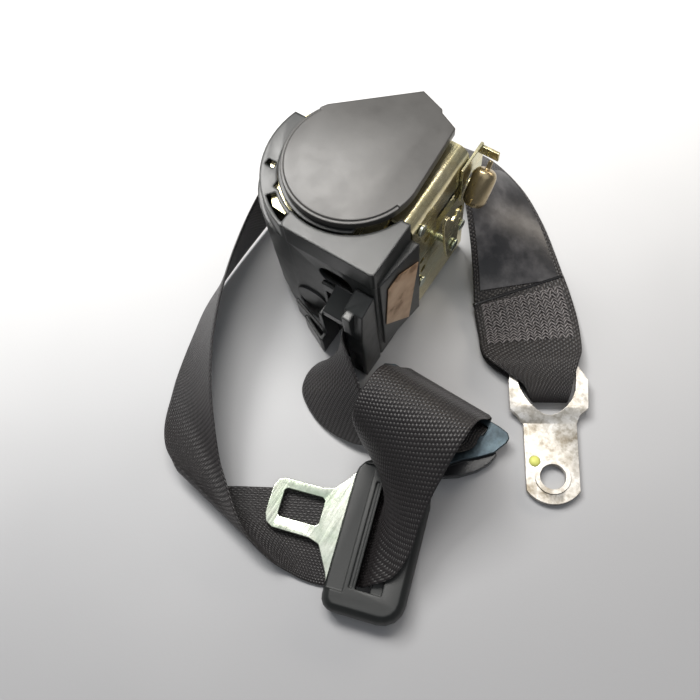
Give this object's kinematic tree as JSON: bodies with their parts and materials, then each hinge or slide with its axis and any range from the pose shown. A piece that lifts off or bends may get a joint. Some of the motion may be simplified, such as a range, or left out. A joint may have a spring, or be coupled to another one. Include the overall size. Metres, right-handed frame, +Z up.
{
  "type": "car seat belt",
  "caption": "Three-point car seat belt laid in a loop: inertia retractor with spring cassette and tilt sensor, black webbing, latch tongue, guide ring and bolt-on end anchor plate",
  "frame": {"origin": "on the surface the belt lies on, under the spool's axis, at the middle of the lower bush's flat face", "axes": "+Z up along the spool's axis, +X out of the steel frame's back plate, the webbing leaves the retractor towards -Y"},
  "size_m": [0.2121, 0.2475, 0.0958],
  "materials": {
    "black_plastic": "fine moulded grain",
    "grey_plastic": "dark grey, smooth",
    "dark_plastic": "smooth",
    "yellow_zinc_steel": "yellow passivated zinc",
    "zinc_steel": "satin zinc",
    "brass_weight": "dull",
    "blued_steel": "dark blue-grey, semi gloss",
    "webbing": "woven polyester, slight sheen",
    "nylon": "natural nylon",
    "paper_label": "blank, worn",
    "film_label": "blank film",
    "spring_steel": "blued strip"
  },
  "bodies": {
    "retractor": {"steel_frame": "yellow_zinc_steel", "frame_rivet_1": "zinc_steel", "frame_rivet_2": "zinc_steel", "frame_rivet_3": "zinc_steel", "spring_cassette_base": "dark_plastic", "spring_cassette_cover": "grey_plastic", "spiral_spring": "spring_steel", "lower_spool_bush": "nylon", "upper_spool_bush": "nylon", "pawl_pin": "zinc_steel", "webbing_cover": "black_plastic", "webbing_guide": "black_plastic", "blank_side_label": "paper_label", "sensor_bracket": "yellow_zinc_steel", "lever_pin": "zinc_steel", "webbing_retractor_run": "webbing", "webbing_shoulder_run": "webbing", "webbing_lap_run": "webbing", "webbing_anchor_run": "webbing", "end_stitching": "webbing", "blank_webbing_label": "film_label"},
    "spool_group": {"spool": "nylon", "wound_webbing": "webbing", "ratchet_wheel": "zinc_steel", "lock_clutch": "nylon", "inertia_disc": "dark_plastic", "torsion_bar": "zinc_steel", "spring_arbor": "nylon"},
    "pawl": {"locking_pawl": "zinc_steel"},
    "lever": {"sensor_lever": "zinc_steel"},
    "weight": {"sensor_weight": "brass_weight"},
    "guide_ring": {"guide_ring_plate": "blued_steel", "guide_ring_liner": "black_plastic"},
    "tongue": {"tongue_blade": "zinc_steel", "tongue_grip": "black_plastic"},
    "end_anchor": {"anchor_plate": "zinc_steel"}
  },
  "joints": [
    {"name": "spool_spin", "type": "hinge", "parent": "retractor", "child": "spool_group", "pos_m": [0, 0, 0], "axis": [0, 0, 1], "continuous": true},
    {"name": "weight_tilt", "type": "hinge", "parent": "retractor", "child": "weight", "pos_m": [0.045, 0.042, 0.0756], "axis": [-1, 0, 0], "range_deg": [0, 10]},
    {"name": "lever_swing", "type": "hinge", "parent": "retractor", "child": "lever", "pos_m": [0.0433, 0.0125, 0.044], "axis": [1, 0, 0], "range_deg": [0, 10]},
    {"name": "pawl_swing", "type": "hinge", "parent": "retractor", "child": "pawl", "pos_m": [-0.029, 0.02, 0.056], "axis": [0, 0, 1], "range_deg": [0, 5]},
    {"name": "guide_ring_tip", "type": "hinge", "parent": "retractor", "child": "guide_ring", "pos_m": [0.0765, -0.044, 0.00675], "axis": [-1, 0, 0], "range_deg": [0, 2]},
    {"name": "tongue_tip", "type": "hinge", "parent": "retractor", "child": "tongue", "pos_m": [0.084, -0.1185, 0.006], "axis": [-0.309, 0.9511, 0], "range_deg": [0, 7]},
    {"name": "anchor_tip", "type": "hinge", "parent": "retractor", "child": "end_anchor", "pos_m": [0.1091, -0.0022, 0.0046], "axis": [-0.8508, -0.5255, 0], "range_deg": [0, 10]}
  ],
  "couplings": [
    {"joint": "lever_swing", "follows": "weight_tilt", "ratio": 1},
    {"joint": "pawl_swing", "follows": "weight_tilt", "ratio": 0.5}
  ]
}
